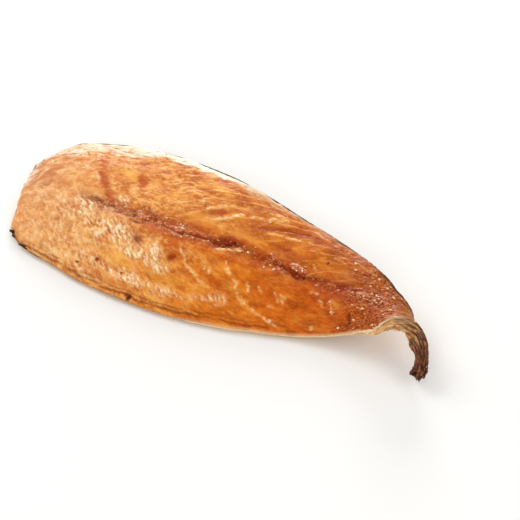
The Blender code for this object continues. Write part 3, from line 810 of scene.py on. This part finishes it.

    # The rim's colour: near white from the head to the middle, partly silvery fat and partly painted highlight, browner
    # towards the tail.
    rimTone = f.tones(
        place,
        (
            *((0.05, tint(244, 224, 194)), (0.2, tint(246, 230, 202)), (0.39, tint(248, 236, 212)), (0.49, tint(214, 160, 108))),
            *((0.6, tint(190, 114, 46)), (0.74, tint(166, 92, 30)), (0.85, tint(104, 38, 4))),
        ),
    )
    lines = f.lumps(along / 7 + across / 6, across / 1.1 - along / 9, 4, 0.7)
    rimTone = f.mix(lines.ramp(0.54, 0.62) * 0.6, rimTone, tint(170, 108, 62))
    colour = f.mix((f.read("rim") * (0.1 + along.ramp(44, 58) * 0.55 - along.ramp(92, 118) * 0.3 + lines.ramp(0.6, 0.45) * 0.95)).kept(), colour, rimTone)
    # A thin silver line inside the rim, partly fat and partly painted highlight.
    colour = f.mix(f.read("silver") * 0.85, colour, f.mix(along.ramp(108, 150), tint(250, 238, 216), tint(206, 164, 122)))
    colour = f.mix(f.read("edge") * along.ramp(100, 140) * 0.6, colour, tint(240, 198, 146))
    dried = f.tones(place, ((0.87, tint(190, 118, 58)), (0.91, tint(134, 72, 28)), (0.96, tint(88, 38, 12))))
    dried = f.mix(mottle.ramp(0.5, 0.62) * 0.7, dried, tint(50, 22, 8))
    dried = f.mix(mottle.ramp(0.46, 0.36) * along.ramp(240, 222) * 0.6, dried, tint(222, 172, 112))
    colour = f.mix(along.ramp(211, 222), colour, dried)
    f.set(
        Base_Color=colour,
        Roughness=0.22 + fine * 0.2,
        Coat_Weight=(0.05 + flecks * 0.5 + f.read("membrane") * 0.2 + f.read("pink") * 0.25 + f.read("pale") * 0.2).kept(),
        Coat_Roughness=0.1,
        Subsurface_Weight=0.1,
        Subsurface_Radius=(3.0, 1.0, 0.3),
        Subsurface_Scale=mm,
        Specular_IOR_Level=0.06,
        Normal=f.bump((mottle * 0.6 + fine * 0.4 + glintThreads * 0.3) * lively, 0.35),
    )
    return f.material


# Torn bits of fat and flesh, blackened crumbs and loose fibres.
bitsLook = {
    "seed": 11,
    "flecks": 460,
    "fleckLong": (0.3, 1.0),  # half length
    "fleckSlim": (0.4, 0.7),  # width as a share of the length
    "fleckFlat": 0.45,  # thickness as a share of the width
    "fleckTurn": 40.0,
    "membraneTurn": -35.0,
    # where they gather: which painted number, and how strongly
    "gather": {"membrane": 0.8, "pink": 1.6, "pale": 1.0, "stipple": 0.3, "crust": 0.05, "halo": 0.12, "rim": 0.08},
    # along, across, how high over the table, half sizes, tone
    "crumbs": (
        *((0.9, -21.6, 3.2, 1.5, 0.9, 0.8, 0.1), (3.0, -23.6, 2.4, 1.0, 0.6, 0.5, 0.3), (11.5, -27.3, 2.2, 2.2, 0.45, 0.5, 0.2)),
        *((15, -28.2, 2.2, 1.3, 0.4, 0.4, 0.5), (85.5, -35.8, 3.0, 1.0, 0.6, 0.5, 0.7)),
    ),
    "fibreRings": 7,
    "fibreSides": 6,
    # along, across, height, then how far it reaches in x, y and z, half width, tone
    "fibres": (
        *((78, -36.4, 2.0, -3.0, -3.0, -0.5, 0.22, 0.6), (78.6, -36.4, 2.0, 0.8, -2.6, 0.4, 0.18, 0.7)),
        *((77.4, -36.2, 2.2, -1.6, -2.0, 0.6, 0.16, 0.8), (112, -35.4, 2.0, -1.2, -2.8, -0.3, 0.2, 0.6)),
        *((112.8, -35.2, 2.0, 1.5, -2.2, 0.2, 0.16, 0.8), (98, -36.6, 2.2, 1.4, -1.6, 0.5, 0.16, 0.7)),
        *((245.8, -2.6, 1.4, -0.9, -4.2, -0.5, 0.3, 0.1), (245.4, 0.5, 1.2, 0.4, -4.0, -0.4, 0.26, 0.9)),
        *((245.2, 1.6, 1.4, 1.0, -4.0, -0.5, 0.22, 1.0), (245.6, 3.8, 1.6, 1.8, -3.4, -0.2, 0.24, 0.2)),
        *((242, -5.0, 1.0, -2.0, -0.3, 0.8, 0.16, 0.1), (238, -4.4, 1.6, -2.2, 0.6, 0.4, 0.14, 0.2)),
    ),
}


def bitsPiece(name, material, lumps, subdivisions):  # lumps: place, forward, up, half sizes and tone
    bm = bmesh.new()
    tone = bm.verts.layers.float.new("tone")
    for place, forward, up, sizes, value in lumps:
        side = up.cross(forward).normalized()
        turn = Matrix((side.cross(up).normalized(), side, up)).transposed().to_4x4()
        matrix = Matrix.Translation(place) @ turn @ Matrix.Diagonal((*sizes, 1.0))
        made = bmesh.ops.create_icosphere(bm, subdivisions=subdivisions, radius=1, matrix=matrix)
        for vert in made["verts"]:
            vert[tone] = value
    for vert in bm.verts:
        x, y, z = vert.co
        shift = float(grain(np.array(x / 0.7), np.array(y / 0.7), 301, 1, z / 0.7))
        vert.co = Vector((x + 0.16 * shift, y - 0.12 * shift, max(z + 0.1 * shift, 0.06))) * mm
    bmesh.ops.recalc_face_normals(bm, faces=bm.faces)
    mesh = bpy.data.meshes.new(name)
    bm.to_mesh(mesh)
    bm.free()
    return showPiece(mesh, material, name)


def fleckLumps(surface):
    look = bitsLook
    points, normals, masks = surface
    random = np.random.default_rng(look["seed"])
    weight = sum(strength * masks[name] for name, strength in look["gather"].items())
    weight[:4] = 0
    weight[-4:] = 0
    weight = np.clip(weight, 0, None)
    chosen = random.choice(weight.size, look["flecks"], replace=False, p=weight.ravel() / weight.sum())
    lumps = []
    for spot in chosen:
        ring, point = divmod(int(spot), weight.shape[1])
        up = Vector(normals[ring, point])
        forward = Vector(points[ring + 1, point] - points[ring - 1, point]).normalized()
        turn = math.radians(look["fleckTurn"]) * random.uniform(-1, 1)
        if masks["membrane"][ring, point] > 0.3:
            turn += math.radians(look["membraneTurn"])
        forward = Matrix.Rotation(turn, 3, up) @ forward
        half = random.uniform(*look["fleckLong"]) ** 1.3
        wide = half * random.uniform(*look["fleckSlim"])
        flat = wide * look["fleckFlat"]
        lumps.append((Vector(points[ring, point]) + up * flat * 0.3, forward, up, (half, wide, flat), random.uniform(0, 1)))
    return lumps


def crumbLumps():
    lumps = []
    for along, across, height, *sizes, tone in bitsLook["crumbs"]:
        ends = onSpine(np.array([[along], [along + 1.0]]), np.array([[across], [across]]), np.array([[height], [height]]))
        start, end = (Vector(end[0]) for end in ends)
        lumps.append((start, (end - start).normalized(), Vector((0, 0, 1)), sizes, tone))
    return lumps


def fibresPiece(material):
    look = bitsLook
    rings, sides = look["fibreRings"], look["fibreSides"]
    bm = bmesh.new()
    tones = []
    for along, across, height, *reach, width, value in look["fibres"]:
        start = Vector(onSpine(np.array([[along]]), np.array([[across]]), np.array([[height]]))[0, 0])
        reach = Vector(reach)
        turn = reach.to_track_quat("Z", "Y").to_matrix()
        mesh, ring, point = tubeMesh("fibre", rings, sides)
        t = ring / (rings - 1)
        angle = point * math.tau / sides
        radius = width * (1 - 0.65 * t)
        x = radius * np.cos(angle) + 0.2 * reach.length * t**2
        y = radius * np.sin(angle) + 0.1 * reach.length * np.sin(5 * t)
        places = np.stack([x, y, t * reach.length], 1) @ np.array(turn).T + np.array(start)
        places[:, 2] = np.maximum(places[:, 2], 0.08)
        moveVertices(mesh, places)
        bm.from_mesh(mesh)
        tones += [value] * len(t)
        bpy.data.meshes.remove(mesh)
    bmesh.ops.recalc_face_normals(bm, faces=bm.faces)
    mesh = bpy.data.meshes.new("fibres")
    bm.to_mesh(mesh)
    bm.free()
    paint(mesh, "tone", np.array(tones, float))
    return showPiece(mesh, material, "fibres")


def bitsFinish(name, dull, bright, gloss):
    f = Finish(name)
    f.set(
        Base_Color=f.mix(f.read("tone"), dull, bright),
        Roughness=0.3,
        Specular_IOR_Level=0.2,
        Coat_Weight=gloss,
        Coat_Roughness=0.12,
        Subsurface_Weight=0.1,
        Subsurface_Radius=(2.0, 1.0, 0.4),
        Subsurface_Scale=mm,
    )
    return f.material


skinLook = {
    "rings": 340,
    "mainPoints": 84,
    "bellyBorder": 5,
    "backBorder": 11,
    "thick": 0.4,
    "bellyReach": ((0, 0.5), (40, 0.25), (100, 0.2), (125, 0.6), (165, 0.6), (185, 0.4), (249, 0.3)),
    "backReach": ((0, 0.4), (38, 0.4), (46, 2.0), (58, 1.9), (70, 1.1), (104, 1.2), (112, 1.9), (124, 1.9), (134, 1.5), (185, 1.6), (249, 1.0)),
}


def skinPiece(material):
    look = skinLook
    rings = look["rings"]
    along = np.linspace(0, filletForm["length"], rings)[:, None]
    sizes = sizesAt(along)
    belly, back, bellyHeight, middleHeight, backHeight = sizes
    scale = middleHeight / filletForm["fullHeight"]
    centre, half = (back - belly) / 2, (back + belly) / 2
    t = np.arange(look["mainPoints"]) / (look["mainPoints"] - 1)
    place = -(0.5 * np.cos(np.pi * t) + 0.5 * (1 - 2 * t))
    mainAcross = centre + half * place
    mainHeight = skinHeight(mainAcross, sizes)
    mainFlesh = fleshHeight(mainAcross, sizes)
    mainHeight = blunted(along, mainHeight, mainFlesh, mainHeight)
    # Past the belly edge: a thin lip that stands out and a little up.
    ragged = 0.75 + 0.5 * grain(along / 6, 0, 101, 3)
    out = np.linspace(1, 0, look["bellyBorder"], endpoint=False)[None, :]
    lipAcross = -belly - knotCurve(look["bellyReach"], along) * ragged * out
    lipHeight = blunted(along, bellyHeight + 0.2 * out**2 * scale, bellyHeight + 0.2, bellyHeight)
    # Up the back's rim, just outside the flesh.
    climb = np.linspace(0, 1, look["backBorder"] + 1)[None, 1:]
    high = knotCurve(look["backReach"], along) * (1 + 0.55 * grain(along / 7, 0, 102, 3)) * scale * smooth(0, 14, along)
    rimAcross = back - high * climb
    rimFlesh = fleshHeight(rimAcross, sizes)
    rimHeight = blunted(along, rimFlesh, rimFlesh, skinHeight(rimAcross, sizes))
    across = np.concatenate([lipAcross, mainAcross, rimAcross], 1)
    height = np.concatenate([lipHeight, mainHeight, rimHeight], 1)
    along = np.broadcast_to(along, across.shape)
    points = onSpine(tornBack(along, (across - centre) / half), across, height)
    normals = surfaceNormals(points, False)
    if normals[rings // 3, look["mainPoints"] // 2, 2] > 0:
        normals = -normals
    count = across.shape[1]
    around = np.linspace(0, 1, count)[None, :] + 0 * along
    tail = smooth(186, 206, along)
    folds = grain(along / 9 + around * 3, around * 11 - along / 22, 111, 2)
    creases = 1 - np.abs(grain(along / 4 + around * 5, around * 18 - along / 14, 112, 3))
    fine = grain(along / 1.6, around * 44, 113, 2)
    relief = tail * (0.75 * folds + 0.85 * (creases - 0.7) + 0.2 * fine)
    rough = 0.06 * grain(along / 2.2, across / 2.2, 114, 2)
    relief = relief + rough * smooth(0.3, 2.0, points[..., 2])
    border = np.zeros(count)
    border[-look["backBorder"] :] = 1
    relief = relief + 0.3 * border[None, :] * scale[:, :1]
    points = points + normals * relief[..., None]
    points[..., 2] = np.maximum(points[..., 2], 0.02)
    mesh, ring, point = sheetMesh("skin", rings, count)
    moveVertices(mesh, points[ring, point])
    masks = {
        "along": along,
        "across": across,
        "around": around,
        # the lowest parts between the skin's folds, for painted shade
        "crease": tail * (1 - smooth(0.35, 0.8, creases)),
        "border": np.broadcast_to(border[None, :], along.shape),
        "lip": np.broadcast_to((np.arange(count) < look["bellyBorder"] + 1)[None, :], along.shape),
        "tail": tail,
    }
    for name, values in masks.items():
        paint(mesh, name, np.array(values, float)[ring, point])
    if mesh.polygons[len(mesh.polygons) // 2].normal.dot(Vector(normals[rings // 2, count // 2])) < 0:
        mesh.flip_normals()
    piece = showPiece(mesh, material, "skin")
    shell = piece.modifiers.new("thickness", "SOLIDIFY")
    shell.thickness = look["thick"] * mm
    shell.offset = -1
    return piece


def skinFinish():
    f = Finish("smokedSkin")
    along, across, around = f.read("along"), f.read("across"), f.read("around")
    fine = f.lumps(along / 2.0, across / 1.4, 3, 0.6)
    wave = f.lumps(along / 14, across / 9, 2)
    strand = f.lumps(along / 5 + around * 9, around * 22 - along / 9, 3, 0.65)
    bars = along / 2.1 + wave * 5.0 + around * 5.0
    bars = bars.maths("SINE", bars).ramp(-0.3, 0.7)
    barZone = (around + wave * 0.16).ramp(0.54, 0.8)
    colour = f.mix(around.ramp(0.05, 0.5), tint(214, 170, 104), tint(150, 98, 44))
    colour = f.mix(wave.ramp(0.42, 0.62) * 0.3, colour, tint(176, 120, 52))
    colour = f.mix(fine.ramp(0.45, 0.7) * 0.25, colour, tint(236, 200, 136))
    colour = f.mix((barZone * (0.35 + bars * 0.6)).kept(), colour, tint(38, 26, 20))
    place = along / filletForm["length"]
    tan = f.tones(
        place,
        (
            *((0.8, tint(230, 180, 114)), (0.87, tint(214, 152, 84)), (0.905, tint(192, 124, 60))),
            *((0.94, tint(132, 64, 20)), (0.975, tint(84, 30, 6))),
        ),
    )
    colour = f.mix(f.read("tail"), colour, tan)
    # Painted shade in the low strands and painted highlight on the raised ones, following the same strands as the bump.
    colour = f.mix(f.read("tail") * strand.ramp(0.5, 0.38) * (along.ramp(216, 236) * 0.35 + 0.2), colour, tint(96, 48, 16))
    colour = f.mix(f.read("tail") * strand.ramp(0.51, 0.58) * 0.75, colour, f.mix(along.ramp(222, 240), tint(255, 222, 162), tint(176, 108, 50)))
    colour = f.mix(f.read("tail") * fine.ramp(0.56, 0.7) * along.ramp(236, 222) * 0.5, colour, tint(244, 208, 150))
    # Painted shade in the troughs between the dried skin's folds.
    colour = f.mix(f.read("crease") * (along.ramp(212, 234) * 0.4 + 0.45), colour, f.mix(along.ramp(212, 230), tint(122, 70, 32), tint(60, 28, 12)))
    colour = f.mix(f.read("border") * 0.92, colour, tint(44, 28, 20))
    lipTone = f.mix(along.ramp(95, 125), tint(176, 112, 58), tint(242, 212, 168))
    lipTone = f.mix(along.ramp(42, 24), lipTone, tint(60, 34, 20))
    lipTone = f.mix(along.ramp(214, 228), lipTone, tint(92, 44, 16))
    colour = f.mix(f.read("lip") * 0.85, colour, lipTone)
    f.set(
        Base_Color=colour,
        Roughness=0.38 + fine * 0.2,
        Specular_IOR_Level=0.3,
        Coat_Weight=0.1,
        Coat_Roughness=0.2,
        Subsurface_Weight=0.05,
        Subsurface_Radius=(2.0, 1.0, 0.4),
        Subsurface_Scale=mm,
        Normal=f.bump(fine * 0.5 + strand * 0.5, 0.3),
    )
    return f.material


studio = {
    "azimuth": 27.0,
    "elevation": 46.0,
    "distance": 1.0,
    "lens": 138.0,
    "target": (-0.01141, -0.00795, 0.0),
    "aim": (60 / 1993.3, 10 / 1993.3),  # how far right of and above the target the camera points
    "floorSize": 4.0,
    # power, place and size of each soft light; the low one at the back draws the rim and the relief
    "lights": {
        "leftLight": (12.0, (-1.25, 0.35, 1.0), 1.1),
        "rightLight": (6.0, (1.3, 0.2, 1.1), 1.1),
        "frontLight": (9.0, (0.35, -1.5, 0.7), 1.1),
        "backLight": (19.0, (-0.6, 1.4, 0.36), 0.8),
    },
    "air": 0.48,
}


def buildLights():
    for name, (power, place, size) in studio["lights"].items():
        light = bpy.data.lights.new(name, "AREA")
        light.energy = power
        light.size = size
        holder = bpy.data.objects.new(name, light)
        holder.location = place
        holder.rotation_euler = (-Vector(place)).to_track_quat("-Z", "Y").to_euler()
        bpy.context.scene.collection.objects.link(holder)
    world = bpy.data.worlds.new("studioAir")
    bpy.context.scene.world = world
    world.use_nodes = True
    world.node_tree.nodes["Background"].inputs["Color"].default_value = (1.0, 1.0, 1.0, 1.0)
    world.node_tree.nodes["Background"].inputs["Strength"].default_value = studio["air"]


def buildTable():
    bpy.ops.mesh.primitive_plane_add(size=studio["floorSize"], location=(0, 0, -0.0002))
    floor = bpy.context.object
    floor.name = "table"
    f = Finish("whiteTable")
    f.set(Base_Color=tint(250, 248, 245), Roughness=0.75, Specular_IOR_Level=0.2)
    floor.data.materials.append(f.material)


def buildCamera():
    azimuth, elevation = math.radians(studio["azimuth"]), math.radians(studio["elevation"])
    level = Vector((math.sin(azimuth), -math.cos(azimuth), 0))
    back = level * math.cos(elevation) + Vector((0, 0, math.sin(elevation)))
    right = Vector((math.cos(azimuth), math.sin(azimuth), 0))
    up = back.cross(right)
    camera = bpy.data.cameras.new("camera")
    camera.lens = studio["lens"]
    camera.clip_end = 50
    holder = bpy.data.objects.new("camera", camera)
    place = Vector(studio["target"]) + back * studio["distance"]
    away = (back - right * studio["aim"][0] - up * studio["aim"][1]).normalized()
    side = up.cross(away).normalized()
    turn = Matrix((side, away.cross(side), away)).transposed().to_4x4()
    holder.matrix_world = Matrix.Translation(place) @ turn
    bpy.context.scene.collection.objects.link(holder)
    bpy.context.scene.camera = holder
    bpy.context.scene.view_settings.view_transform = "Standard"


buildTable()
buildLights()
buildCamera()
print("table, lights and camera set")

flesh, surface = fleshPiece(fleshFinish())
print("flesh made")
skin = skinPiece(skinFinish())
print("skin made")
flecks = bitsPiece("flecks", bitsFinish("tornFat", tint(222, 136, 78), tint(255, 226, 184), 0.5), fleckLumps(surface), 1)
crumbs = bitsPiece("crumbs", bitsFinish("charredBits", tint(20, 12, 8), tint(84, 38, 20), 0.1), crumbLumps(), 2)
fibres = fibresPiece(bitsFinish("driedFibres", tint(56, 28, 14), tint(244, 218, 176), 0.1))
print("flecks, crumbs and fibres made")

for piece in (flesh, skin, flecks, crumbs, fibres):
    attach(piece, "root")
    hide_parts("fillet")
